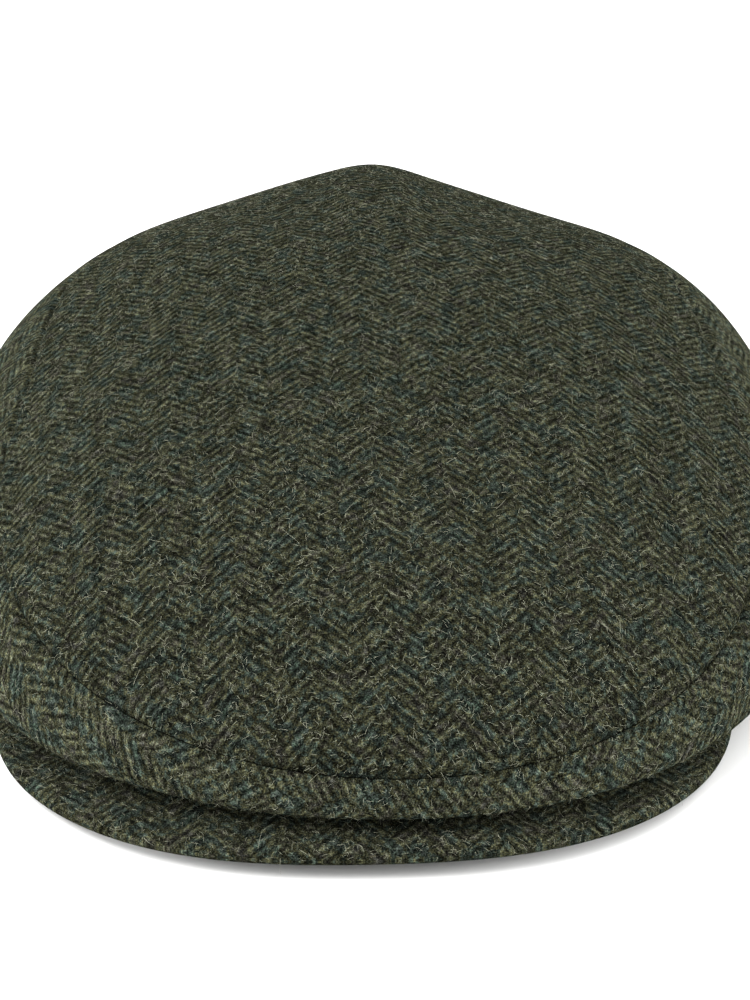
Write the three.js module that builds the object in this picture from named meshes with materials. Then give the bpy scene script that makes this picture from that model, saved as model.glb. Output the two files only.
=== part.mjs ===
import * as THREE from "three";

// A flat cap of wool tweed, standing on its hem and on the sides of its peak.
// Millimetres and degrees, +Z up. The cap faces -Y, and its origin is on the table under its middle.

// Driving dimensions of the crown
const crownLength = 269;
const crownWidth = 219;
const crestSetback = 163; // from the foremost point of the crown back to its crest
const crestHeight = 71;
const backRingHeight = 39; // height of the widest line of the crown at the back
const wall = 2; // tweed with its interlining
const seamGap = 0.3; // between the two cloths at their seam
const seamTurn = 3.5; // the top panel is sewn on a little askew
const bellyFall = 0.45; // how far down the wall below the widest line still falls steeply

// Driving dimensions of the head opening
const openingLength = 200;
const openingWidth = 164;
const backTuck = 8; // how far the hem lies inside the back of the crown
const hemAside = -4.6; // the hem and the peak lie a little to one side under the crown

// Driving dimensions of the peak
const peakReach = 3.7; // beyond the front of the crown
const peakSide = 2.6; // beyond the hem at each side
const peakSpread = 76; // from the front edge back to the widest line
const peakThickness = 4;
const peakFrontLift = 4; // arch of the front edge above the table
const peakPressed = 0.8; // how far the sides are pressed flat by the table
const peakRise = 8; // extra height that the slope gains towards the hem
const peakSlopeLength = 60;
const peakFullness = 2.44; // exponent of the outline: 2 is an ellipse
const peakTurn = 1.1; // the peak is sewn on a little askew
const peakEdgeShare = 0.3; // most of the peak's depth that its rounded edge may take
const hornTurn = 64; // where the peak's two ends meet the hem
const hornClearTurn = 67; // where the hem starts to come down behind those ends
const hemFallTurn = 84; // where the hem has come down to the table
const seatGap = 0.3; // between the peak and the band that rests on it

// Sections of the crown, a row for every 30 degrees of turn from the front to the back.
// side and fore place the widest line: shares of half the crown's width and length.
// ring is the height of that line, a share of backRingHeight.
// ease and shoulder shape the dome: a flat stretch at the crest, a share of the way out to the
// widest line, and how high the side stands before it turns in, a share of the dome's rise.
// seam is where the top panel ends, a share of the way down the dome.
// tuck and sink shape the wall below: where it bends in towards the hem, as shares of its width
// and height.
const sections = [
  { turn: 0, side: 0, fore: 1, ring: 0.375, ease: 0.37, shoulder: 0.49, seam: 0.91, tuck: 0.84, sink: 0 },
  { turn: 30, side: 0.733, fore: 0.75, ring: 0.38, ease: 0.41, shoulder: 0.48, seam: 0.81, tuck: 0.82, sink: 0 },
  { turn: 60, side: 0.952, fore: 0.33, ring: 0.455, ease: 0.48, shoulder: 0.52, seam: 0.7, tuck: 0.6, sink: 0.18 },
  { turn: 90, side: 1, fore: -0.05, ring: 0.65, ease: 0.47, shoulder: 0.47, seam: 0.62, tuck: 0.45, sink: 0.38 },
  { turn: 120, side: 0.854, fore: -0.565, ring: 0.81, ease: 0.53, shoulder: 0.53, seam: 0.65, tuck: 0.5, sink: 0.36 },
  { turn: 150, side: 0.492, fore: -0.87, ring: 0.92, ease: 0.54, shoulder: 0.5, seam: 0.66, tuck: 0.55, sink: 0.33 },
  { turn: 180, side: 0, fore: -1, ring: 1, ease: 0.66, shoulder: 0.62, seam: 0.66, tuck: 0.6, sink: 0.3 },
];

// Soft folds of the top behind its crest, running from front to back: a ridge in the middle and a
// hollow and a swelling beside it. place and width are shares of half the crown's width, height is a
// share of crestHeight.
const folds = [
  { place: 0, width: 0.13, height: 0.034 },
  { place: 0.335, width: 0.26, height: -0.028 },
  { place: -0.31, width: 0.5, height: 0.01 },
];
const foldsBegin = 0.37; // share of the way from the crest to the front where they start
const foldsEnd = 0.6; // how far down the dome they start to fade

const crestRound = 0.3; // share of the way out over which the crest is one even curve

// Fineness of the facets
const turnSteps = 60;
const topSteps = 12;
const sideSteps = 5;
const tuckSteps = 8;
const peakAcross = 28;
const peakDeep = 7;

const tweed = { color: 0x3b3e32, roughness: 0.95, metalness: 0 };

// Values worked out from the sizes above
const crownMiddle = crownLength / 2 - crestSetback;
const crownBack = crownLength - crestSetback;
const openingMiddle = crownBack - backTuck - wall - openingLength / 2;
const hemHalfLength = openingLength / 2 + wall;
const hemHalfWidth = openingWidth / 2 + wall;
const peakFront = -crestSetback - peakReach;
const peakHalfWidth = hemHalfWidth + peakSide;
const peakWidest = peakFront + peakSpread;

// A smooth curve round the cap through a column of the table, the same on the left and the right.
function evenColumn(name) {
  const last = sections.length - 1;
  const weight = (row) => (row === 0 || row === last ? 0.5 : 1);
  const terms = sections.map((unused, k) => {
    const sum = sections.reduce(
      (total, section, row) => total + weight(row) * section[name] * Math.cos((Math.PI * k * row) / last),
      0,
    );
    return (2 / last) * weight(k) * sum;
  });
  return (turn) => terms.reduce((total, term, k) => total + term * Math.cos(k * turn), 0);
}

// The same for a column that has opposite signs on the left and the right.
function oddColumn(name) {
  const last = sections.length - 1;
  const terms = sections.map((unused, k) => {
    const sum = sections.reduce((total, section, row) => {
      return total + section[name] * Math.sin((Math.PI * k * row) / last);
    }, 0);
    return (2 / last) * sum;
  });
  return (turn) => terms.reduce((total, term, k) => total + term * Math.sin(k * turn), 0);
}

const column = {
  side: oddColumn("side"),
  fore: evenColumn("fore"),
  ring: evenColumn("ring"),
  ease: evenColumn("ease"),
  shoulder: evenColumn("shoulder"),
  seam: evenColumn("seam"),
  tuck: evenColumn("tuck"),
  sink: evenColumn("sink"),
};

const radians = THREE.MathUtils.degToRad;

function bezier(t, a, b, c, d) {
  const s = 1 - t;
  return s * s * s * a + 3 * s * s * t * b + 3 * s * t * t * c + t * t * t * d;
}

// Turns a point of the crown's plan into the plan of the peak, which is sewn on askew.
function inPeakPlan(x, y) {
  const angle = radians(peakTurn);
  const aside = x - hemAside;
  return [aside * Math.cos(angle) + y * Math.sin(angle), y * Math.cos(angle) - aside * Math.sin(angle)];
}

// Height of the underside of the peak over its own plan: arched across, rising towards the hem.
function peakUnderside(x, y) {
  const back = Math.tanh(Math.max(0, y - peakFront) / peakSlopeLength);
  const across = Math.min(1, Math.abs(x) / peakHalfWidth);
  const arch = (peakFrontLift + peakPressed + peakRise * back) * (1 - across * across);
  return Math.max(0, arch - peakPressed);
}

// Height on which the band rests: the top of the peak at the front, the table behind its ends.
function bandSeat(turn, x, y) {
  const fromFront = Math.abs(Math.atan2(Math.sin(turn), Math.cos(turn)));
  const share = 1 - THREE.MathUtils.smoothstep(fromFront, radians(hornClearTurn), radians(hemFallTurn));
  const [u, v] = inPeakPlan(x, y);
  return share * (peakUnderside(u, v) + peakThickness + seatGap);
}

// The widest line of the crown.
function ring(turn) {
  return new THREE.Vector3(
    (column.side(turn) * crownWidth) / 2,
    crownMiddle - (column.fore(turn) * crownLength) / 2,
    column.ring(turn) * backRingHeight,
  );
}

// The outer line of the hem.
function hem(turn) {
  return new THREE.Vector2(
    hemAside + hemHalfWidth * Math.sin(turn),
    openingMiddle - hemHalfLength * Math.cos(turn),
  );
}

// How much the folds lift the top.
function foldLift(x, y, down) {
  const start = -foldsBegin * crestSetback;
  const fade = THREE.MathUtils.smoothstep(y, start, -start) * (1 - THREE.MathUtils.smoothstep(down, foldsEnd, 1));
  return folds.reduce((lift, fold) => {
    const away = (x / (crownWidth / 2) - fold.place) / fold.width;
    return lift + fade * fold.height * crestHeight * Math.exp(-away * away);
  }, 0);
}

// How strongly a section bends at the crest.
function crestBend(turn) {
  const edge = ring(turn);
  const drop = (1 - column.shoulder(turn)) * (crestHeight - edge.z);
  return ((2 / 3) * drop) / (column.ease(turn) * Math.hypot(edge.x, edge.y)) ** 2;
}

const bendAlong = (crestBend(0) + crestBend(Math.PI)) / 2;
const bendAcross = crestBend(Math.PI / 2);

// The dome: down is 0 at the crest and 1 at the widest line. Its sections run into one even curve
// at the crest, so that they meet there without a pinch.
function dome(turn, down) {
  const edge = ring(turn);
  const out = bezier(down, 0, column.ease(turn), 1, 1);
  const x = edge.x * out;
  const y = edge.y * out;
  const high = edge.z + column.shoulder(turn) * (crestHeight - edge.z);
  const section = bezier(down, crestHeight, crestHeight, high, edge.z);
  const even = crestHeight - (bendAcross * x * x + bendAlong * y * y) / 2;
  const z = THREE.MathUtils.lerp(even, section, THREE.MathUtils.smoothstep(out, 0, crestRound));
  return new THREE.Vector3(x, y, z + foldLift(x, y, down));
}

// The wall below the widest line: down is 0 at that line and 1 at the hem.
function underWall(turn, down) {
  const edge = ring(turn);
  const foot = hem(turn);
  const bend = column.tuck(turn);
  const x = bezier(down, edge.x, edge.x, foot.x + (edge.x - foot.x) * bend, foot.x);
  const y = bezier(down, edge.y, edge.y, foot.y + (edge.y - foot.y) * bend, foot.y);
  const fall = bezier(down, 1, bellyFall, column.sink(turn), 0);
  const z = bandSeat(turn, x, y) + (edge.z - bandSeat(turn, edge.x, edge.y)) * fall;
  return new THREE.Vector3(x, y, z);
}

// The whole outside of the crown: down runs 0 to 1 over the dome and 1 to 2 under it.
function skin(turn, down) {
  return down <= 1 ? dome(turn, down) : underWall(turn, down - 1);
}

// The direction straight out of the cloth.
function outward(turn, down) {
  const step = 1e-3;
  const low = Math.max(down - step, step);
  const high = Math.min(low + 2 * step, 2);
  const along = skin(turn, high).sub(skin(turn, low));
  const round = skin(turn + step, Math.max(down, step)).sub(skin(turn - step, Math.max(down, step)));
  return along.cross(round).normalize();
}

// How far down the dome the seam lies, moved by a gap measured along the cloth.
function seamPlace(turn, gap) {
  const step = 1e-3;
  const place = column.seam(turn - radians(seamTurn));
  const speed = skin(turn, place + step).distanceTo(skin(turn, place - step)) / (2 * step);
  return place + gap / speed;
}

// Closes two matching grids of points, an outer and an inner one, into one solid wall.
// Rows run down the cloth, columns run round it; a closed grid joins its last column to its first.
// A pole is a single point that stands in for the first row.
function wallGeometry({ outer, inner, closed, poles }) {
  const columns = outer[0].length;
  const points = [];
  const index = [];
  const place = (grid) => grid.map((row) => row.map((point) => points.push(point) - 1));
  const outerIds = place(outer);
  const innerIds = place(inner);
  const spans = closed ? columns : columns - 1;
  const quad = (a, b, c, d) => index.push(a, b, c, a, c, d);
  for (let row = 0; row + 1 < outer.length; row += 1) {
    for (let k = 0; k < spans; k += 1) {
      const next = (k + 1) % columns;
      quad(outerIds[row][k], outerIds[row + 1][k], outerIds[row + 1][next], outerIds[row][next]);
      quad(innerIds[row][next], innerIds[row + 1][next], innerIds[row + 1][k], innerIds[row][k]);
    }
  }
  for (let k = 0; k < spans; k += 1) {
    const next = (k + 1) % columns;
    const bottom = outer.length - 1;
    quad(outerIds[bottom][k], innerIds[bottom][k], innerIds[bottom][next], outerIds[bottom][next]);
    if (!poles) {
      quad(innerIds[0][k], outerIds[0][k], outerIds[0][next], innerIds[0][next]);
    }
  }
  if (poles) {
    const [outerPole, innerPole] = poles.map((point) => points.push(point) - 1);
    for (let k = 0; k < spans; k += 1) {
      const next = (k + 1) % columns;
      index.push(outerPole, outerIds[0][k], outerIds[0][next]);
      index.push(innerPole, innerIds[0][next], innerIds[0][k]);
    }
  }
  if (!closed) {
    const end = columns - 1;
    for (let row = 0; row + 1 < outer.length; row += 1) {
      quad(innerIds[row][0], innerIds[row + 1][0], outerIds[row + 1][0], outerIds[row][0]);
      quad(outerIds[row][end], outerIds[row + 1][end], innerIds[row + 1][end], innerIds[row][end]);
    }
  }
  return new THREE.BufferGeometry().setFromPoints(points).setIndex(index);
}

function piece(name, geometry) {
  geometry.computeVertexNormals();
  const mesh = new THREE.Mesh(geometry, new THREE.MeshStandardMaterial(tweed));
  mesh.name = name;
  return mesh;
}

const turns = Array.from({ length: turnSteps }, (unused, k) => (2 * Math.PI * k) / turnSteps);

// The point of the inner face behind a point of the outer one.
function inside(turn, down) {
  return skin(turn, down).addScaledVector(outward(turn, down), -wall);
}

// The top panel: a shell from the crest out to the seam.
function crownTop() {
  const outer = [];
  const inner = [];
  for (let row = 1; row <= topSteps; row += 1) {
    const down = (turn) => (seamPlace(turn, -seamGap / 2) * row) / topSteps;
    outer.push(turns.map((turn) => skin(turn, down(turn))));
    inner.push(turns.map((turn) => inside(turn, down(turn))));
  }
  const crest = dome(0, 0);
  const poles = [crest, crest.clone().setZ(crest.z - wall)];
  return piece("crown_top", wallGeometry({ outer, inner, closed: true, poles }));
}

// The inner line of the hem: straight in from the outer line where the hem stands on the table.
function hemInside(turn) {
  const foot = skin(turn, 2);
  const normal = outward(turn, 2);
  const level = new THREE.Vector3(normal.x, normal.y, 0).normalize();
  const fromFront = Math.abs(Math.atan2(Math.sin(turn), Math.cos(turn)));
  const share = THREE.MathUtils.smoothstep(fromFront, radians(hornTurn), radians(hemFallTurn));
  return foot.addScaledVector(normal.lerp(level, share).normalize(), -wall);
}

// The side band: a shell from the seam over the widest line and under to the hem.
function sideBand() {
  const outer = [];
  const inner = [];
  for (let row = 0; row <= sideSteps + tuckSteps; row += 1) {
    const down = (turn) => {
      const start = seamPlace(turn, seamGap / 2);
      return row <= sideSteps ? start + ((1 - start) * row) / sideSteps : 1 + (row - sideSteps) / tuckSteps;
    };
    outer.push(turns.map((turn) => skin(turn, down(turn))));
    const last = row === sideSteps + tuckSteps;
    inner.push(turns.map((turn) => (last ? hemInside(turn) : inside(turn, down(turn)))));
  }
  return piece("side_band", wallGeometry({ outer, inner, closed: true }));
}

// The peak: an arched slab from its rounded outer edge to the line of the hem.
function peak() {
  const horn = openingMiddle - hemHalfLength * Math.cos(radians(hornTurn));
  const sweep = Math.acos(-(((horn - peakWidest) / peakSpread) ** (peakFullness / 2)));
  const power = (value) => Math.sign(value) * Math.abs(value) ** (2 / peakFullness);
  const top = [];
  const bottom = [];
  // The rounded edge: millimetres in from the rim, and the share of the thickness there.
  const rounding = [
    { inward: 0, thick: 0.35 },
    { inward: 0.8, thick: 0.8 },
    { inward: 2, thick: 1 },
  ];
  for (let row = 0; row < rounding.length + peakDeep; row += 1) {
    const edge = rounding[Math.min(row, rounding.length - 1)];
    const share = Math.max(0, row - rounding.length + 1) / peakDeep;
    const line = { top: [], bottom: [] };
    for (let k = 0; k <= peakAcross; k += 1) {
      const across = (2 * k) / peakAcross - 1;
      const angle = sweep * across;
      const rim = new THREE.Vector2(
        peakHalfWidth * power(Math.sin(angle)),
        peakWidest - peakSpread * power(Math.cos(angle)),
      );
      const turn = radians(hornTurn) * across;
      const root = new THREE.Vector2(
        (openingWidth / 2) * Math.sin(turn),
        openingMiddle - (openingLength / 2) * Math.cos(turn),
      );
      const way = root.clone().sub(rim);
      const start = Math.min(edge.inward, peakEdgeShare * way.length()) / way.length();
      const spot = rim.addScaledVector(way, start + (1 - start) * share);
      const under = peakUnderside(spot.x, spot.y);
      const trim = ((1 - edge.thick) * peakThickness) / 2;
      line.top.push(new THREE.Vector3(spot.x, spot.y, under + peakThickness - trim));
      line.bottom.push(new THREE.Vector3(spot.x, spot.y, under + trim));
    }
    top.push(line.top);
    bottom.push(line.bottom);
  }
  const mesh = piece("peak", wallGeometry({ outer: bottom, inner: top, closed: false }));
  mesh.rotation.z = radians(peakTurn);
  mesh.position.x = hemAside;
  return mesh;
}

const cap = new THREE.Group();
cap.add(crownTop(), sideBand(), peak());

// Stands the cap with the middle of its outline over the origin.
const outline = new THREE.Box3().setFromObject(cap, true);
const middle = outline.getCenter(new THREE.Vector3());
cap.position.set(-middle.x, -middle.y, -outline.min.z);
const part = new THREE.Group();
part.add(cap);

export default part;
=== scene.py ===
import bpy
import math
import numpy as np
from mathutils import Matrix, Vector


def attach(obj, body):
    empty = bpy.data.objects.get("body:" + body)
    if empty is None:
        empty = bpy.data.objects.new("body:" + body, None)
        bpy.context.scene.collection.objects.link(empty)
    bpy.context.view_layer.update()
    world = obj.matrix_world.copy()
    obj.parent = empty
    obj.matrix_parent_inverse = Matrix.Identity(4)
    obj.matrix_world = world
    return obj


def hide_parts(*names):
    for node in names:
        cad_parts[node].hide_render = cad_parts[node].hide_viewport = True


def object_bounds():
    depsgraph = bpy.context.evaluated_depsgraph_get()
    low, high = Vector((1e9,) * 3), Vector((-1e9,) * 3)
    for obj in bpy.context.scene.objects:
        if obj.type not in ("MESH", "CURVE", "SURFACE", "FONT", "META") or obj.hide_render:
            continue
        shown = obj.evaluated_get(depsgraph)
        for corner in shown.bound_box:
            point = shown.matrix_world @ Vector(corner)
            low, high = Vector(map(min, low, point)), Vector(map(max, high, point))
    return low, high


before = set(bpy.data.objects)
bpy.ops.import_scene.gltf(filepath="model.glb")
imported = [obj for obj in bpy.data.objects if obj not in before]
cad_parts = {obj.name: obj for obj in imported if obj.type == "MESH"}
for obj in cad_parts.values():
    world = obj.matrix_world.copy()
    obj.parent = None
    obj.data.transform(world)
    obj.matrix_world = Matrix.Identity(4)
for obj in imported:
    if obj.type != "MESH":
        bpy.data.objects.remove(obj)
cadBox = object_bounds()
print("frame loaded")

# A flat cap of herringbone tweed on a white table. Shapes are worked out in millimetres round the
# crest of the crown, with the peak towards -Y, and are moved to the frame's origin at the end.

crown = {
    "length": 269,
    "width": 219,
    "crestSetback": 163,  # from the foremost point of the crown back to its crest
    "crestHeight": 71,
    "backRingHeight": 39,  # height of the widest line at the back
    "wall": 2,
    "bellyFall": 0.45,  # how far down the wall below the widest line still falls steeply
    "seamTurn": 3.5,  # the top panel is sewn on a little askew
    "seamGap": 0.2,  # the edges meet closer than in the CAD model
    "openingLength": 200,
    "openingWidth": 164,
    "backTuck": 8,  # how far the hem lies inside the back of the crown
    "hemAside": -4.6,  # the hem and the peak lie a little to one side under the crown
    "hemStart": 67,  # turn where the hem starts to come down behind the peak
    "hemDown": 84,  # turn where it has reached the table
    "crestRound": 0.3,  # share of the way out over which the crest is one even curve
    "foldsBegin": 0.37,  # share of the way from the crest to the front where the folds start
    "foldsEnd": 0.6,  # how far down the dome they start to fade
}

# Soft folds of the top behind its crest, running from front to back: a ridge in the middle and a
# hollow and a swelling beside it. Place and width are shares of half the crown's width, height is
# a share of the crest's.
folds = [
    {"place": 0, "width": 0.13, "height": 0.034},
    {"place": 0.335, "width": 0.26, "height": -0.028},
    {"place": -0.31, "width": 0.5, "height": 0.01},
]

# Sections of the crown, a number for every 30 degrees of turn from the front to the back:
# the widest line, the shape of the dome, the place of the seam and the shape of the wall below.
sections = {
    "side": [0, 0.733, 0.952, 1, 0.854, 0.492, 0],
    "fore": [1, 0.75, 0.33, -0.05, -0.565, -0.87, -1],
    "ring": [0.375, 0.38, 0.455, 0.65, 0.81, 0.92, 1],
    "ease": [0.37, 0.41, 0.48, 0.47, 0.53, 0.54, 0.66],
    "shoulder": [0.49, 0.48, 0.52, 0.47, 0.53, 0.5, 0.62],
    "seam": [0.91, 0.81, 0.7, 0.62, 0.65, 0.66, 0.66],
    "tuck": [0.84, 0.82, 0.6, 0.45, 0.5, 0.55, 0.6],
    "sink": [0, 0, 0.18, 0.38, 0.36, 0.33, 0.3],
}

peak = {
    "reach": 3.7,  # beyond the front of the crown
    "side": 2.6,  # beyond the hem at each side
    "spread": 76,  # from the front edge back to the widest line
    "thickness": 4,
    "frontLift": 4,  # arch of the front edge above the table
    "pressed": 0.8,  # how far the sides are pressed flat by the table
    "rise": 8,  # extra height that the slope gains towards the hem
    "slopeLength": 60,
    "fullness": 2.44,  # exponent of the outline
    "turn": 1.1,  # sewn on a little askew
    "hornTurn": 64,  # where its two ends meet the hem
    "seatGap": 0.3,
}

crownMiddle = crown["length"] / 2 - crown["crestSetback"]
crownBack = crown["length"] - crown["crestSetback"]
openingMiddle = crownBack - crown["backTuck"] - crown["wall"] - crown["openingLength"] / 2
hemHalfLength = crown["openingLength"] / 2 + crown["wall"]
hemHalfWidth = crown["openingWidth"] / 2 + crown["wall"]
peakFront = -crown["crestSetback"] - peak["reach"]
peakHalfWidth = hemHalfWidth + peak["side"]
peakWidest = peakFront + peak["spread"]


def smoothStep(value, low, high):
    t = np.clip((value - low) / (high - low), 0, 1)
    return t * t * (3 - 2 * t)


def bezier(t, a, b, c, d):
    s = 1 - t
    return s * s * s * a + 3 * s * s * t * b + 3 * s * t * t * c + t * t * t * d


# A smooth curve round the cap through the numbers of a section: alike on the left and the right,
# or of opposite sign there when it is odd.
def sectionCurve(name, turn, odd=False):
    values = np.array(sections[name], float)
    rows = np.arange(len(values))
    last = len(values) - 1
    ends = np.where((rows == 0) | (rows == last), 0.5, 1)
    angles = math.pi / last * np.outer(rows, rows)
    waves = np.multiply.outer(turn, rows)
    if odd:
        return np.sin(waves) @ (2 / last * (np.sin(angles) @ values))
    return np.cos(waves) @ (2 / last * ends * (np.cos(angles) @ (ends * values)))


def stack(x, y, z):
    return np.stack(np.broadcast_arrays(x, y, z), -1)


# The widest line of the crown
def ring(turn):
    x = sectionCurve("side", turn, odd=True) * crown["width"] / 2
    y = crownMiddle - sectionCurve("fore", turn) * crown["length"] / 2
    return x, y, sectionCurve("ring", turn) * crown["backRingHeight"]


def turnPlan(x, y, degrees):
    c = math.cos(math.radians(degrees))
    s = math.sin(math.radians(degrees))
    return x * c + y * s, y * c - x * s


# Height of the underside of the peak over its own plan
def peakUnderside(x, y):
    back = np.tanh(np.maximum(0, y - peakFront) / peak["slopeLength"])
    across = np.minimum(1, np.abs(x) / peakHalfWidth)
    arch = (peak["frontLift"] + peak["pressed"] + peak["rise"] * back) * (1 - across**2)
    return np.maximum(0, arch - peak["pressed"])


# Height on which the band rests: the top of the peak at the front, the table behind its ends
def bandSeat(turn, x, y):
    fromFront = np.abs(np.arctan2(np.sin(turn), np.cos(turn)))
    share = 1 - smoothStep(fromFront, math.radians(crown["hemStart"]), math.radians(crown["hemDown"]))
    u, v = turnPlan(x - crown["hemAside"], y, peak["turn"])
    return share * (peakUnderside(u, v) + peak["thickness"] + peak["seatGap"])


# How much the folds lift the top
def foldLift(x, y, down):
    start = -crown["foldsBegin"] * crown["crestSetback"]
    fade = smoothStep(y, start, -start) * (1 - smoothStep(down, crown["foldsEnd"], 1))
    lift = 0
    for fold in folds:
        away = (x / (crown["width"] / 2) - fold["place"]) / fold["width"]
        lift = lift + fade * fold["height"] * crown["crestHeight"] * np.exp(-away * away)
    return lift


# How strongly a section bends at the crest
def crestBend(turn):
    edgeX, edgeY, edgeZ = ring(turn)
    drop = (1 - sectionCurve("shoulder", turn)) * (crown["crestHeight"] - edgeZ)
    return 2 / 3 * drop / (sectionCurve("ease", turn) * np.hypot(edgeX, edgeY)) ** 2


bendAlong = (crestBend(0) + crestBend(math.pi)) / 2
bendAcross = crestBend(math.pi / 2)


# The dome: its sections run into one even curve at the crest, so that they meet without a pinch
def dome(turn, down):
    edgeX, edgeY, edgeZ = ring(turn)
    out = bezier(down, 0, sectionCurve("ease", turn), 1, 1)
    x = edgeX * out
    y = edgeY * out
    high = edgeZ + sectionCurve("shoulder", turn) * (crown["crestHeight"] - edgeZ)
    section = bezier(down, crown["crestHeight"], crown["crestHeight"], high, edgeZ)
    even = crown["crestHeight"] - (bendAcross * x**2 + bendAlong * y**2) / 2
    share = smoothStep(out, 0, crown["crestRound"])
    return stack(x, y, even + (section - even) * share + foldLift(x, y, down))


def underWall(turn, down):
    edgeX, edgeY, edgeZ = ring(turn)
    footX = crown["hemAside"] + hemHalfWidth * np.sin(turn)
    footY = openingMiddle - hemHalfLength * np.cos(turn)
    bend = sectionCurve("tuck", turn)
    x = bezier(down, edgeX, edgeX, footX + (edgeX - footX) * bend, footX)
    y = bezier(down, edgeY, edgeY, footY + (edgeY - footY) * bend, footY)
    fall = bezier(down, 1, crown["bellyFall"], sectionCurve("sink", turn), 0)
    z = bandSeat(turn, x, y) + (edgeZ - bandSeat(turn, edgeX, edgeY)) * fall
    return stack(x, y, z)


# The outside of the crown: down is 0 at the crest, 1 at the widest line and 2 at the hem
def skin(turn, down):
    turn, down = np.broadcast_arrays(turn, down)
    over = dome(turn, np.minimum(down, 1))
    under = underWall(turn, np.maximum(down - 1, 0))
    return np.where((down <= 1)[..., None], over, under)


# The way straight out of the cloth
def outward(turn, down):
    step = 1e-3
    low = np.clip(down, 2 * step, 2 - 2 * step)
    along = skin(turn, low + step) - skin(turn, low - step)
    around = skin(turn + step, low) - skin(turn - step, low)
    normal = np.cross(along, around)
    return normal / np.linalg.norm(normal, axis=-1, keepdims=True)


# The seam between the top panel and the band, and how fast the cloth runs past it
def seamLine(turn):
    place = sectionCurve("seam", turn - math.radians(crown["seamTurn"]))
    step = 1e-3
    speed = np.linalg.norm(skin(turn, place + step) - skin(turn, place - step), axis=-1) / (2 * step)
    return place, speed


# Softness of the cloth: slow swells and dents, in millimetres, added along the outward direction
softness = {
    "seed": 11,
    "waves": 26,
    "shortest": 34,  # length of the shortest swell
    "longest": 95,
    "height": 0.22,
}


def swell(points):
    draw = np.random.default_rng(softness["seed"])
    total = np.zeros(points.shape[:-1])
    for _ in range(softness["waves"]):
        direction = draw.normal(size=3)
        direction /= np.linalg.norm(direction)
        length = draw.uniform(softness["shortest"], softness["longest"])
        phase = draw.uniform(0, 2 * math.pi)
        total += np.sin(points @ direction * 2 * math.pi / length + phase) * length / softness["longest"]
    return total * softness["height"] / math.sqrt(softness["waves"] / 2)


# How the panels pull in at the seam: a small valley, deeper at each stitch
seamForm = {
    "depth": 1.1,
    "width": 0.9,
    "bulge": 0.3,  # the turned-in edge lifts the cloth beside the valley
    "bulgeAt": 3.4,
    "bulgeWidth": 1.8,
    "stitch": 3.2,  # spacing of the stitches
    "pucker": 0.35,
}


def seamRelief(away, around, bulge):
    stitches = 1 + seamForm["pucker"] * np.cos(2 * math.pi * around / seamForm["stitch"])
    valley = seamForm["depth"] * stitches * np.exp(-((away / seamForm["width"]) ** 2))
    return bulge * np.exp(-(((away - seamForm["bulgeAt"]) / seamForm["bulgeWidth"]) ** 2)) - valley


def arcLength(points, axis):
    steps = np.linalg.norm(np.diff(points, axis=axis), axis=-1)
    first = np.zeros_like(np.take(steps, [0], axis))
    return np.concatenate([first, np.cumsum(steps, axis)], axis)


# Cloth coordinates of the top panel: how far the cloth runs over the dome from its crest, sideways
# and along, read from a height map of the dome. They are in millimetres, so patterns keep their size.
grain = {
    "turn": 3.1,  # the stripes run a little askew to the cap
    "start": 5.45,  # puts a stripe's edge where the photograph has it
    "mapStep": 0.5,
    "mapMargin": 4,
    "steepest": 9,
    "halvings": 24,
}


def domeMap():
    step = grain["mapStep"]
    margin = grain["mapMargin"]
    halfWide = crown["width"] / 2 + margin
    xs = np.arange(-halfWide, halfWide, step)
    ys = np.arange(-crown["crestSetback"] - margin, crownBack + margin, step)
    turns = np.linspace(0, 2 * math.pi, 2881)
    ringX, ringY, _ = ring(turns)
    azimuths = np.unwrap(np.arctan2(ringX, -ringY))
    gridX, gridY = np.meshgrid(xs, ys)
    turn = np.interp(np.mod(np.arctan2(gridX, -gridY), 2 * math.pi), azimuths, turns)
    edgeX, edgeY, _ = ring(turn)
    out = np.minimum(np.hypot(gridX, gridY) / np.hypot(edgeX, edgeY), 1)
    ease = sectionCurve("ease", turn)
    low = np.zeros_like(out)
    high = np.ones_like(out)
    for _ in range(grain["halvings"]):  # halves the range of down until the plan fits
        middle = (low + high) / 2
        past = bezier(middle, 0, ease, 1, 1) > out
        high = np.where(past, middle, high)
        low = np.where(past, low, middle)
    height = dome(turn, low)[..., 2]
    lengths = []
    for axis in (1, 0):
        slope = np.minimum(np.abs(np.gradient(height, step, axis=axis)), grain["steepest"])
        run = np.cumsum(np.sqrt(1 + slope**2) * step, axis)
        middle = int(np.argmin(np.abs(xs if axis else ys)))
        lengths.append(run - np.take(run, [middle], axis))
    return xs, ys, lengths[0], lengths[1]


def mapValue(grid, xs, ys, x, y):
    column = np.clip((x - xs[0]) / (xs[1] - xs[0]), 0, len(xs) - 1.001)
    row = np.clip((y - ys[0]) / (ys[1] - ys[0]), 0, len(ys) - 1.001)
    i = column.astype(int)
    j = row.astype(int)
    a = column - i
    b = row - j
    near = grid[j, i] * (1 - a) + grid[j, i + 1] * a
    far = grid[j + 1, i] * (1 - a) + grid[j + 1, i + 1] * a
    return near * (1 - b) + far * b


def turnCloth(u, v, degrees):
    c = math.cos(math.radians(degrees))
    s = math.sin(math.radians(degrees))
    return np.stack([u * c + v * s, v * c - u * s], -1)


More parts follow.
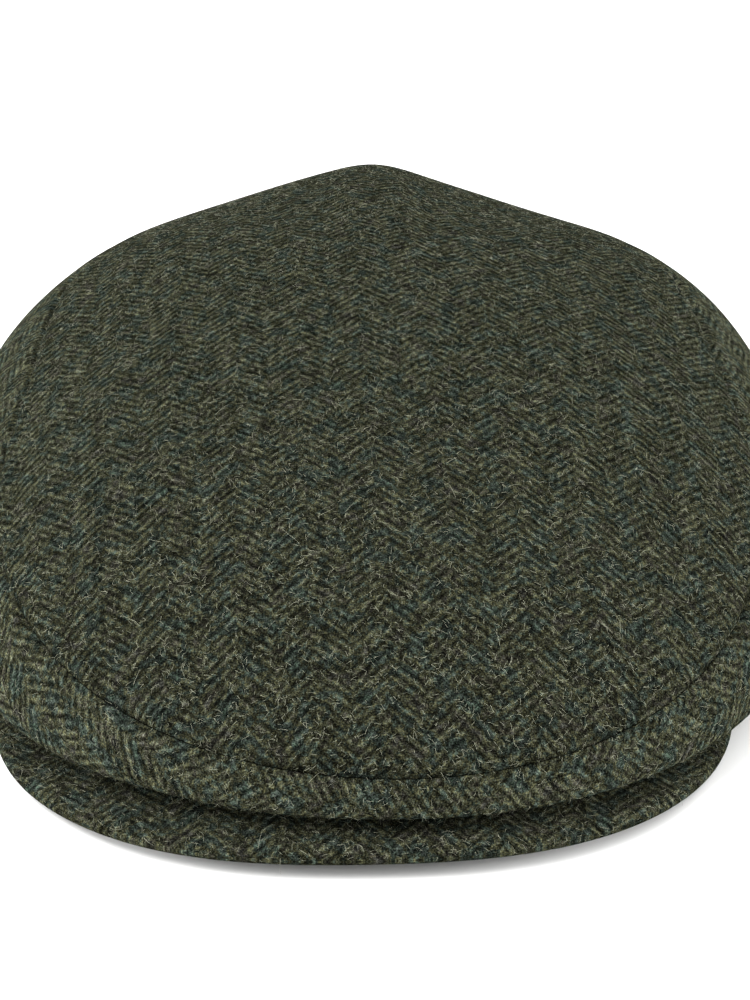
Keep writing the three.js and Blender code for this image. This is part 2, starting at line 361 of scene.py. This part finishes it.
# Builds one closed wall from an outer and an inner grid of points with cloth coordinates.
# Rows run down the cloth and columns round it. A closed grid repeats its first column's points;
# a pole is one point in place of the first row.
def wallMesh(name, outer, inner, cloth, closed, poles=None, poleCloth=(0, 0)):
    rows, columns = outer.shape[:2]
    real = columns - 1 if closed else columns
    ids = np.arange(rows * real).reshape(rows, real)
    if closed:
        ids = np.concatenate([ids, ids[:, :1]], 1)
    points = [outer[:, :real].reshape(-1, 3), inner[:, :real].reshape(-1, 3)]
    shift = rows * real
    faces = []
    uvs = []

    def addQuads(corners, coordinates):
        faces.append(np.stack([c.ravel() for c in corners], -1))
        uvs.append(np.stack([c.reshape(-1, 2) for c in coordinates], 1))

    def around(grid):
        return grid[:-1, :-1], grid[1:, :-1], grid[1:, 1:], grid[:-1, 1:]

    a, b, c, d = around(ids)
    ua, ub, uc, ud = around(cloth)
    addQuads((a, b, c, d), (ua, ub, uc, ud))
    addQuads((d + shift, c + shift, b + shift, a + shift), (ud, uc, ub, ua))
    last = ids[-1]
    lastCloth = cloth[-1]
    addQuads(
        (last[:-1], last[:-1] + shift, last[1:] + shift, last[1:]),
        (lastCloth[:-1], lastCloth[:-1], lastCloth[1:], lastCloth[1:]),
    )
    if poles is None:
        first = ids[0]
        firstCloth = cloth[0]
        addQuads(
            (first[:-1] + shift, first[:-1], first[1:], first[1:] + shift),
            (firstCloth[:-1], firstCloth[:-1], firstCloth[1:], firstCloth[1:]),
        )
    if not closed:
        for end, order in ((0, 1), (-1, -1)):
            side = ids[:, end][::order]
            sideCloth = cloth[:, end][::order]
            addQuads(
                (side[:-1] + shift, side[1:] + shift, side[1:], side[:-1]),
                (sideCloth[:-1], sideCloth[1:], sideCloth[1:], sideCloth[:-1]),
            )
    faceList = np.concatenate(faces).tolist()
    uvList = np.concatenate(uvs).reshape(-1, 2)
    if poles is not None:
        top = 2 * shift
        points.append(np.array(poles, float))
        fans = []
        for k in range(columns - 1):
            faceList.append([top, int(ids[0, k]), int(ids[0, k + 1])])
            fans.append([poleCloth, cloth[0, k], cloth[0, k + 1]])
            faceList.append([top + 1, int(ids[0, k + 1]) + shift, int(ids[0, k]) + shift])
            fans.append([poleCloth, cloth[0, k + 1], cloth[0, k]])
        uvList = np.concatenate([uvList, np.array(fans).reshape(-1, 2)])
    made = {"name": name, "points": np.concatenate(points), "faces": faceList, "uvs": uvList}
    return made | {"outer": faces[0], "inner": faces[1]}


print("sizes and helpers ready")

# The top panel
topPanel = {
    "columns": 288,
    "rows": 72,
    "edgeRows": [5.5, 4.8, 4.2, 3.6, 3, 2.5, 2, 1.6, 1.2, 0.85, 0.5, 0.2, 0],  # mm from the seam
}


def makeTop():
    turn = np.linspace(0, 2 * math.pi, topPanel["columns"] + 1)
    place, speed = seamLine(turn)
    edgeRows = np.array(topPanel["edgeRows"])
    start = place - edgeRows[0] / speed
    inner = np.multiply.outer(np.arange(1, topPanel["rows"]) / topPanel["rows"], start)
    edge = place - np.multiply.outer(edgeRows + crown["seamGap"] / 2, 1 / speed)
    down = np.concatenate([inner, edge])
    turns = np.broadcast_to(turn, down.shape)
    base = skin(turns, down)
    normal = outward(turns, down)
    away = (place - down) * speed
    around = arcLength(skin(turn, place)[None], 1)
    soft = swell(base)[..., None] * normal
    relief = seamRelief(away, around, seamForm["bulge"])[..., None] * normal
    outer = base + soft + relief
    inside = base + soft - crown["wall"] * normal
    xs, ys, wide, long = domeMap()
    u = mapValue(wide, xs, ys, base[..., 0], base[..., 1])
    v = mapValue(long, xs, ys, base[..., 0], base[..., 1])
    cloth = turnCloth(u, v, grain["turn"]) + (grain["start"], 0)
    crest = dome(0, 0)
    crest = crest + swell(crest) * np.array([0, 0, 1])
    poles = [crest, crest - (0, 0, crown["wall"])]
    return wallMesh("top_panel", outer, inside, cloth, True, poles, (grain["start"], 0))


# The side band, from the seam over the widest line and under to the hem
band = {
    "columns": 288,
    "sideRows": 16,
    "tuckRows": 26,
    "edgeRows": [0, 0.2, 0.5, 0.85, 1.2, 1.6, 2, 2.5, 3, 3.6, 4.2, 4.8, 5.5],
    "grainTurn": 82,  # the band's stripes run nearly along it
    "flatRadius": 330,  # laid flat, the band is an arc
    "bulge": 0.1,
    "stillBelow": 1.9,  # the swells fade out from softAbove down to here
    "softAbove": 1.2,
}


def makeBand():
    turn = np.linspace(-math.pi, math.pi, band["columns"] + 1)  # starts and ends at the back
    place, speed = seamLine(turn)
    edge = place + np.multiply.outer(np.array(band["edgeRows"]) + crown["seamGap"] / 2, 1 / speed)
    shares = np.arange(1, band["sideRows"] + 1) / band["sideRows"]
    side = edge[-1] + np.multiply.outer(shares, 1 - edge[-1])
    tuck = np.repeat(1 + np.arange(1, band["tuckRows"] + 1)[:, None] / band["tuckRows"], len(turn), 1)
    down = np.concatenate([edge, side, tuck])
    turns = np.broadcast_to(turn, down.shape)
    base = skin(turns, down)
    normal = outward(turns, down)
    around = arcLength(skin(turn, place)[None], 1)
    away = arcLength(base, 0)
    # the hem stays where the table and the peak hold it
    free = smoothStep(down, band["stillBelow"], band["softAbove"])
    soft = (swell(base) * free)[..., None] * normal
    relief = seamRelief(away, around, band["bulge"])[..., None] * normal
    outer = base + soft + relief
    # the hem is level inside where it stands on the table
    fromFront = np.abs(turn)
    level = smoothStep(fromFront, math.radians(peak["hornTurn"]), math.radians(crown["hemDown"]))
    flat = normal[-1] * (1, 1, 0)
    flat /= np.linalg.norm(flat, axis=-1, keepdims=True)
    hemNormal = normal[-1] + (flat - normal[-1]) * level[:, None]
    hemNormal /= np.linalg.norm(hemNormal, axis=-1, keepdims=True)
    inward = normal.copy()
    inward[-1] = hemNormal
    inside = base + soft - crown["wall"] * inward
    widest = np.argmin(np.abs(down[:, 0] - 1))
    u = arcLength(base[widest : widest + 1], 1)
    flatRadius = band["flatRadius"]
    radius = flatRadius - away
    bend = np.broadcast_to(u, down.shape) / flatRadius - u.max() / flatRadius / 2
    cloth = turnCloth(radius * np.sin(bend), radius * np.cos(bend) - flatRadius, band["grainTurn"])
    return wallMesh("band_cloth", outer, inside, cloth, True)


# The peak, a stiff board covered with the cloth
peakCloth = {
    "across": 200,
    "deep": 44,
    "edgeSteps": 8,  # rows over the rounded edge
    "edgeRadius": 2,
    "edgeShare": 0.3,  # most of the depth that the rounded edge may take
    "edgeThinnest": 0.02,  # share of the thickness left at the very edge
    "softness": 0.5,  # the board lets the cloth swell only half as much
    "start": 3,
}


def makePeak():
    horn = openingMiddle - hemHalfLength * math.cos(math.radians(peak["hornTurn"]))
    sweep = math.acos(-(((horn - peakWidest) / peak["spread"]) ** (peak["fullness"] / 2)))
    share = np.linspace(-1, 1, peakCloth["across"] + 1)
    power = 2 / peak["fullness"]
    sine = np.sin(sweep * share)
    cosine = np.cos(sweep * share)
    rimX = peakHalfWidth * np.sign(sine) * np.abs(sine) ** power
    rimY = peakWidest - peak["spread"] * np.sign(cosine) * np.abs(cosine) ** power
    rootTurn = math.radians(peak["hornTurn"]) * share
    rootX = crown["openingWidth"] / 2 * np.sin(rootTurn)
    rootY = openingMiddle - crown["openingLength"] / 2 * np.cos(rootTurn)
    depth = np.hypot(rootX - rimX, rootY - rimY)
    radius = np.minimum(peakCloth["edgeRadius"], peakCloth["edgeShare"] * depth)
    bow = np.arange(peakCloth["edgeSteps"] + 1) / peakCloth["edgeSteps"] * math.pi / 2
    edgeIn = np.multiply.outer(1 - np.cos(bow), radius)
    shares = np.arange(1, peakCloth["deep"] + 1) / peakCloth["deep"]
    restIn = radius + np.multiply.outer(shares, depth - radius)
    inward = np.concatenate([edgeIn, restIn]) / depth
    x = rimX + (rootX - rimX) * inward
    y = rimY + (rootY - rimY) * inward
    thick = np.ones(len(inward))
    thick[: len(bow)] = np.maximum(np.sin(bow), peakCloth["edgeThinnest"])
    under = peakUnderside(x, y)
    half = peak["thickness"] / 2
    trim = ((1 - thick) * half)[:, None]
    soft = swell(stack(x, y, under)) * peakCloth["softness"]
    lift = np.maximum(under + soft, 0)
    top = stack(x, y, lift + peak["thickness"] - trim)
    bottom = stack(x, y, lift + trim)
    cloth = np.stack([x + peakCloth["start"], arcLength(top, 0) + rimY], -1)
    angle = -peak["turn"]
    for grid in (top, bottom):
        grid[..., 0], grid[..., 1] = turnPlan(grid[..., 0].copy(), grid[..., 1].copy(), angle)
        grid[..., 0] += crown["hemAside"]
    return wallMesh("peak_cloth", bottom, top, cloth, False)


# The crown's back touches the back of the CAD model's box, which gives the frame's origin
origin = np.array([0, crownBack - cadBox[1][1] * 1000, 0])


def makeObject(wall, material):
    mesh = bpy.data.meshes.new(wall["name"])
    mesh.from_pydata(((wall["points"] - origin) / 1000).tolist(), [], wall["faces"])
    if "uvs" in wall:
        layer = mesh.uv_layers.new(name="cloth")
        layer.data.foreach_set("uv", np.ascontiguousarray(wall["uvs"], dtype=np.float32).ravel())
    mesh.polygons.foreach_set("use_smooth", [True] * len(mesh.polygons))
    mesh.materials.append(material)
    mesh.update()
    made = bpy.data.objects.new(wall["name"], mesh)
    bpy.context.scene.collection.objects.link(made)
    return made


def linearColor(code):
    parts = [int(code[i : i + 2], 16) / 255 for i in (1, 3, 5)]
    return tuple([c / 12.92 if c < 0.04045 else ((c + 0.055) / 1.055) ** 2.4 for c in parts] + [1])


# Adds a node with its settings; inputs that are sockets are linked, the rest are set
def addNode(tree, kind, inputs=None, **settings):
    made = tree.nodes.new("ShaderNode" + kind)
    for name, value in settings.items():
        setattr(made, name, value)
    for key, value in (inputs or {}).items():
        if isinstance(value, bpy.types.NodeSocket):
            tree.links.new(value, made.inputs[key])
        else:
            made.inputs[key].default_value = value
    return made


# Herringbone tweed, woven of heathered woollen yarn in a 2/2 twill that turns every ten ends. The
# pale floats run together along the twill, and spinning and brushing break them into flecks.
weave = {
    "end": 0.775,  # mm between warp threads
    "pick": 0.66,  # mm between weft threads
    "endsInStripe": 10,
    # painted light: the three pieces are one cloth, and the band and the peak are made lighter than the
    # top
    "shade": {"top": 0.126, "band": 0.17, "peak": 0.142},  # how light the wool is; the differences between the pieces are painted light
    "drift": 0.5,  # mm by which whole threads wander
    "driftPerMm": 0.28,
    "jitter": 0.24,  # mm by which their edges do
    "jitterPerMm": 1.5,
    "twill": 0.64,  # how much lighter the wales are and how much darker their hollows
    "brushed": (0.45, 1.35),  # the twill shows less where the cloth is brushed more
    "brushedPerMm": 0.3,
    # how strongly shade is painted into the hollows between the threads
    "hollows": 0.1,
    "float": 0.62,  # how much single floats differ
    "fleck": 3.4,  # and the wool along them
    "flecksPerThread": 0.95,
    "fleckStretch": 0.42,  # flecks are drawn out along the twill
    "heather": ["#687c6c", "#6e7771", "#6a7d6c", "#7a806d", "#87865f", "#78806d", "#7c7861", "#717269"],
    "heatherRange": (0.37, 0.63),
    "patchSize": 5,  # mm
    "bump": 0.0002,
    "roughness": 0.95,
    "sheen": 0.01,
    "sheenRoughness": 0.5,
    "sheenColor": "#c8ccb8",
}

# Uneven wool: fibres and thick places, brushed places and worn ones
unevenness = [
    {"perMm": 2.6, "detail": 2, "rough": 0.7, "depth": 8.2},
    {"perMm": 0.6, "detail": 2, "rough": 0.55, "depth": 3.2},
    {"perMm": 0.2, "detail": 1, "rough": 0.5, "depth": 1.8},
]


# One copy of the tweed for each piece; the copies differ only in lightness, which paints light and shade
# onto the pieces
def tweed(piece):
    material = bpy.data.materials.new("herringbone tweed, " + piece)
    material.use_nodes = True
    tree = material.node_tree
    shader = tree.nodes["Principled BSDF"]

    def calculate(operation, a, b=0.0, c=1.0):
        return addNode(tree, "Math", {0: a, 1: b, 2: c}, operation=operation).outputs[0]

    def scaled(vector, scale):
        return addNode(tree, "VectorMath", {0: vector, "Scale": scale}, operation="SCALE").outputs[0]

    def added(a, b):
        return addNode(tree, "VectorMath", {0: a, 1: b}, operation="ADD").outputs[0]

    def noise(vector, scale, detail, rough):
        inputs = {"Vector": vector, "Scale": scale, "Detail": detail, "Roughness": rough}
        return addNode(tree, "TexNoise", inputs, noise_dimensions="3D").outputs

    # how much lighter or darker a pattern from 0 to 1 makes the wool, as a natural logarithm
    def share(pattern, depth):
        return calculate("MULTIPLY", calculate("SUBTRACT", pattern, 0.5), depth)

    cloth = addNode(tree, "UVMap", uv_map="cloth").outputs[0]  # millimetres of cloth
    half = (-0.5, -0.5, -0.5)
    drift = scaled(added(noise(cloth, weave["driftPerMm"], 1, 0.5)["Color"], half), 2 * weave["drift"])
    jitter = scaled(added(noise(cloth, weave["jitterPerMm"], 2, 0.5)["Color"], half), 2 * weave["jitter"])
    threads = added(added(cloth, drift), jitter)
    parts = addNode(tree, "SeparateXYZ", {0: threads}).outputs
    ends = calculate("DIVIDE", parts[0], weave["end"])
    picks = calculate("DIVIDE", parts[1], weave["pick"])

    # the twill climbs one pick an end and turns back at each stripe's edge, half a wale on
    stripe = calculate("FLOOR", calculate("DIVIDE", ends, weave["endsInStripe"]))
    odd = calculate("FLOORED_MODULO", stripe, 2)
    folded = calculate("PINGPONG", ends, weave["endsInStripe"])
    across = calculate("ADD", calculate("ADD", folded, picks), calculate("MULTIPLY", odd, 2))
    along = calculate("SUBTRACT", folded, picks)
    wale = calculate("COSINE", calculate("MULTIPLY", across, math.pi / 2))  # one wale in four threads
    brush = noise(cloth, weave["brushedPerMm"], 3, 0.6)["Fac"]
    low, high = weave["brushed"]
    brushed = addNode(tree, "MapRange", {0: brush, 1: 0.38, 2: 0.62, 3: low, 4: high}).outputs[0]
    tone = calculate("MULTIPLY", calculate("MULTIPLY", wale, brushed), -weave["twill"])

    # every float has its own shade, and the wool is uneven along the twill
    number = {0: calculate("FLOOR", ends), 1: calculate("FLOOR", calculate("DIVIDE", across, 4))}
    floatNumber = addNode(tree, "CombineXYZ", number).outputs[0]
    single = addNode(tree, "TexWhiteNoise", {"Vector": floatNumber}).outputs["Value"]
    tone = calculate("ADD", tone, share(single, weave["float"]))
    stretched = calculate("MULTIPLY", along, weave["fleckStretch"])
    apart = calculate("MULTIPLY", stripe, 7.3)  # so that no stripe repeats its neighbour
    twill = addNode(tree, "CombineXYZ", {0: across, 1: stretched, 2: apart}).outputs[0]
    flecks = noise(twill, weave["flecksPerThread"], 2, 0.65)["Fac"]
    tone = calculate("ADD", tone, share(flecks, weave["fleck"]))
    for kind in unevenness:
        fac = noise(cloth, kind["perMm"], kind["detail"], kind["rough"])["Fac"]
        tone = calculate("ADD", tone, share(fac, kind["depth"]))
    # painted shade in the hollows between the threads: where the tone, which is also the bump's height,
    # is low, it is made darker still, and where it is high, a little less light
    hollowShaded = calculate("MULTIPLY", tone, calculate("MULTIPLY_ADD", tone, -weave["hollows"]))
    # painted light: each piece's copy is lightened or darkened by its own value
    bright = calculate("MULTIPLY", calculate("EXPONENT", hollowShaded), weave["shade"][piece])

    # colour: patches of blended wool
    aside = added(cloth, (31, 17, 0))  # keeps the colours apart from the light and dark places
    patches = noise(aside, 1 / weave["patchSize"], 4, 0.75)["Fac"]
    ramp = addNode(tree, "ValToRGB", {0: patches})
    stops = ramp.color_ramp.elements
    while len(stops) < len(weave["heather"]):
        stops.new(0.5)
    positions = np.linspace(*weave["heatherRange"], len(weave["heather"]))
    for stop, position, code in zip(stops, positions, weave["heather"]):
        stop.position = position
        stop.color = linearColor(code)
    tree.links.new(scaled(ramp.outputs[0], bright), shader.inputs["Base Color"])

    bump = addNode(tree, "Bump", {"Height": tone, "Distance": weave["bump"], "Strength": 1.0})
    tree.links.new(bump.outputs[0], shader.inputs["Normal"])
    shader.inputs["Roughness"].default_value = weave["roughness"]
    shader.inputs["Specular IOR Level"].default_value = 0  # brushed wool has no gloss of its own
    shader.inputs["Sheen Weight"].default_value = weave["sheen"]
    shader.inputs["Sheen Roughness"].default_value = weave["sheenRoughness"]
    shader.inputs["Sheen Tint"].default_value = linearColor(weave["sheenColor"])
    return material


walls = {"top": makeTop(), "band": makeBand(), "peak": makePeak()}
for name, node, slot in (
    ("top", "crown_top", "top_tweed"),
    ("band", "side_band", "band_tweed"),
    ("peak", "peak", "peak_tweed"),
):
    piece = makeObject(walls[name], tweed(name))
    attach(piece, "root")
    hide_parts(node)
print("cloth pieces made")

# Nap: wool fibres that stand out of the cloth, fine ones all over and a few long curly ones, which
# soften its outline. They are drawn about twice as thick as wool is, so that they show from here.
nap = {
    "color": "#a4a691",
    "steps": 4,
    "pieces": [
        {"wall": "top", "side": "outer", "slot": "top_tweed", "seed": 3, "fibres": 15000},
        {"wall": "band", "side": "outer", "slot": "band_tweed", "seed": 4, "fibres": 11000},
        {"wall": "peak", "side": "inner", "slot": "peak_tweed", "seed": 5, "fibres": 5000},
    ],
    "length": (0.5, 1.7),  # mm
    "lift": (0.05, 0.4),
    "width": 0.045,
    "long": 0.015,  # share of the fibres that are long ones
    "longLength": (2.0, 4.5),
    "longLift": (0.3, 0.9),
    "curl": 0.25,  # how far a fibre bends aside, a share of its length
    "taper": 0.6,  # how much thinner it is at its tip
    "clearance": 0.02,  # mm that its lowest point keeps from the table
    "roughness": 0.8,
    "gloss": 0.05,
}


def makeNap(wall, settings):
    draw = np.random.default_rng(settings["seed"])
    quads = wall[settings["side"]]
    corners = wall["points"][quads]
    cross = np.cross(corners[:, 2] - corners[:, 0], corners[:, 3] - corners[:, 1])
    area = np.linalg.norm(cross, axis=1)
    count = settings["fibres"]
    chosen = draw.choice(len(quads), count, p=area / area.sum())
    a, b = draw.random((2, count, 1))
    c = corners[chosen]
    root = (c[:, 0] * (1 - a) + c[:, 1] * a) * (1 - b) + (c[:, 3] * (1 - a) + c[:, 2] * a) * b
    normal = cross[chosen] / area[chosen, None]
    way = np.cross(normal, draw.normal(size=(count, 3)))
    way /= np.linalg.norm(way, axis=1, keepdims=True)
    aside = np.cross(normal, way)
    isLong = draw.random(count) < nap["long"]

    def drawn(long, short):
        return np.where(isLong, draw.uniform(*nap[long], count), draw.uniform(*nap[short], count))

    length = drawn("longLength", "length")
    lift = drawn("longLift", "lift")
    curl = draw.normal(size=count) * nap["curl"] * length
    roll = draw.uniform(-1, 1, count)
    rows = []
    for step in range(nap["steps"] + 1):
        t = step / nap["steps"]
        spot = root + way * (length * t)[:, None]
        spot = spot + aside * (curl * t * t)[:, None] + normal * (lift * math.sin(2.2 * t))[:, None]
        flat = aside * np.cos(roll)[:, None] + normal * np.sin(roll)[:, None]
        half = flat * nap["width"] / 2 * (1 - nap["taper"] * t)
        rows += [spot - half, spot + half]
    points = np.stack(rows, 1)
    points[..., 2] = np.maximum(points[..., 2], nap["clearance"])
    first = np.arange(count)[:, None] * len(rows)
    faces = []
    for step in range(nap["steps"]):
        low = 2 * step
        faces.append(first + np.array([low, low + 1, low + 3, low + 2]))
    name = settings["wall"] + "_nap"
    return {"name": name, "points": points.reshape(-1, 3), "faces": np.concatenate(faces).tolist()}


# Single wool fibres, brushed up from the cloth: pale, scaly and almost without gloss
def wool():
    material = bpy.data.materials.new("wool fibre")
    material.use_nodes = True
    shader = material.node_tree.nodes["Principled BSDF"]
    shader.inputs["Base Color"].default_value = linearColor(nap["color"])
    shader.inputs["Roughness"].default_value = nap["roughness"]
    shader.inputs["Specular IOR Level"].default_value = nap["gloss"]
    return material


woolFibre = wool()
for settings in nap["pieces"]:
    piece = makeObject(makeNap(walls[settings["wall"]], settings), woolFibre)
    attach(piece, "root")
print("nap made")

# A table top in matt white paint, and soft studio light, mostly from above and the upper left
studio = {
    "floorColor": "#f4f4f3",
    "floorRoughness": 0.9,
    "floorSize": 40,
    "highStrength": 2.3,  # a wide soft light overhead
    "lowStrength": 0.1,
    "fadeHeights": (0.3, 0.95),  # sines of the heights between which it grows
    "frontStrength": 0.35,  # how much more light comes from the front than from above
    "backdropStrength": 1.1,  # the white wall far behind
    "backdropHeights": (0.06, 0.14),
    "cameraPlace": (0, -466.5, 264.2),  # mm from the crest's foot
    "cameraPitch": 30,
    "lens": 68.7,
    "lamps": [
        {"name": "left", "place": (-0.9, -0.65, 1.8), "size": 0.8, "power": 34},
        {"name": "right", "place": (0.95, -0.55, 1.7), "size": 0.8, "power": 4},
        {"name": "low left", "place": (-1.4, -0.1, 0.3), "size": 0.5, "power": 27},
        {"name": "low right", "place": (1.4, -0.1, 0.3), "size": 0.5, "power": 24},
    ],
}


def makeStudio():
    half = studio["floorSize"] / 2
    mesh = bpy.data.meshes.new("table")
    corners = [(-half, -half, 0), (half, -half, 0), (half, half, 0), (-half, half, 0)]
    mesh.from_pydata(corners, [], [(0, 1, 2, 3)])
    floor = bpy.data.objects.new("table", mesh)
    bpy.context.scene.collection.objects.link(floor)
    paint = bpy.data.materials.new("matt white paint")
    paint.use_nodes = True
    shader = paint.node_tree.nodes["Principled BSDF"]
    shader.inputs["Base Color"].default_value = linearColor(studio["floorColor"])
    shader.inputs["Roughness"].default_value = studio["floorRoughness"]
    mesh.materials.append(paint)
    world = bpy.data.worlds.new("white studio")
    world.use_nodes = True
    tree = world.node_tree
    tree.nodes["Background"].inputs[0].default_value = (1, 1, 1, 1)
    way = addNode(tree, "TexCoord").outputs["Generated"]
    parts = addNode(tree, "SeparateXYZ", {0: way}).outputs

    def fade(heights, low, high):
        inputs = {0: parts[2], 1: heights[0], 2: heights[1], 3: low, 4: high}
        return addNode(tree, "MapRange", inputs).outputs[0]

    def multiplyAdd(a, b, c):
        return addNode(tree, "Math", {0: a, 1: b, 2: c}, operation="MULTIPLY_ADD").outputs[0]

    overhead = fade(studio["fadeHeights"], studio["lowStrength"], studio["highStrength"])
    backdrop = fade(studio["backdropHeights"], studio["backdropStrength"], 0.0)
    lean = multiplyAdd(parts[1], -studio["frontStrength"], 1.0)
    tree.links.new(multiplyAdd(overhead, lean, backdrop), tree.nodes["Background"].inputs[1])
    bpy.context.scene.world = world
    for lamp in studio["lamps"]:
        light = bpy.data.lights.new(lamp["name"], "AREA")
        light.size = lamp["size"]
        light.energy = lamp["power"]
        made = bpy.data.objects.new(lamp["name"], light)
        made.location = lamp["place"]
        made.rotation_euler = (-made.location).to_track_quat("-Z", "Y").to_euler()
        bpy.context.scene.collection.objects.link(made)
    bpy.context.scene.view_settings.view_transform = "Standard"


def makeCamera():
    camera = bpy.data.objects.new("camera", bpy.data.cameras.new("camera"))
    camera.location = (np.array(studio["cameraPlace"]) - origin) / 1000
    camera.rotation_euler = (math.radians(90 - studio["cameraPitch"]), 0, 0)
    camera.data.lens = studio["lens"]
    camera.data.clip_start = 0.01
    bpy.context.scene.collection.objects.link(camera)
    bpy.context.scene.camera = camera


makeStudio()
makeCamera()
print("studio and camera ready")
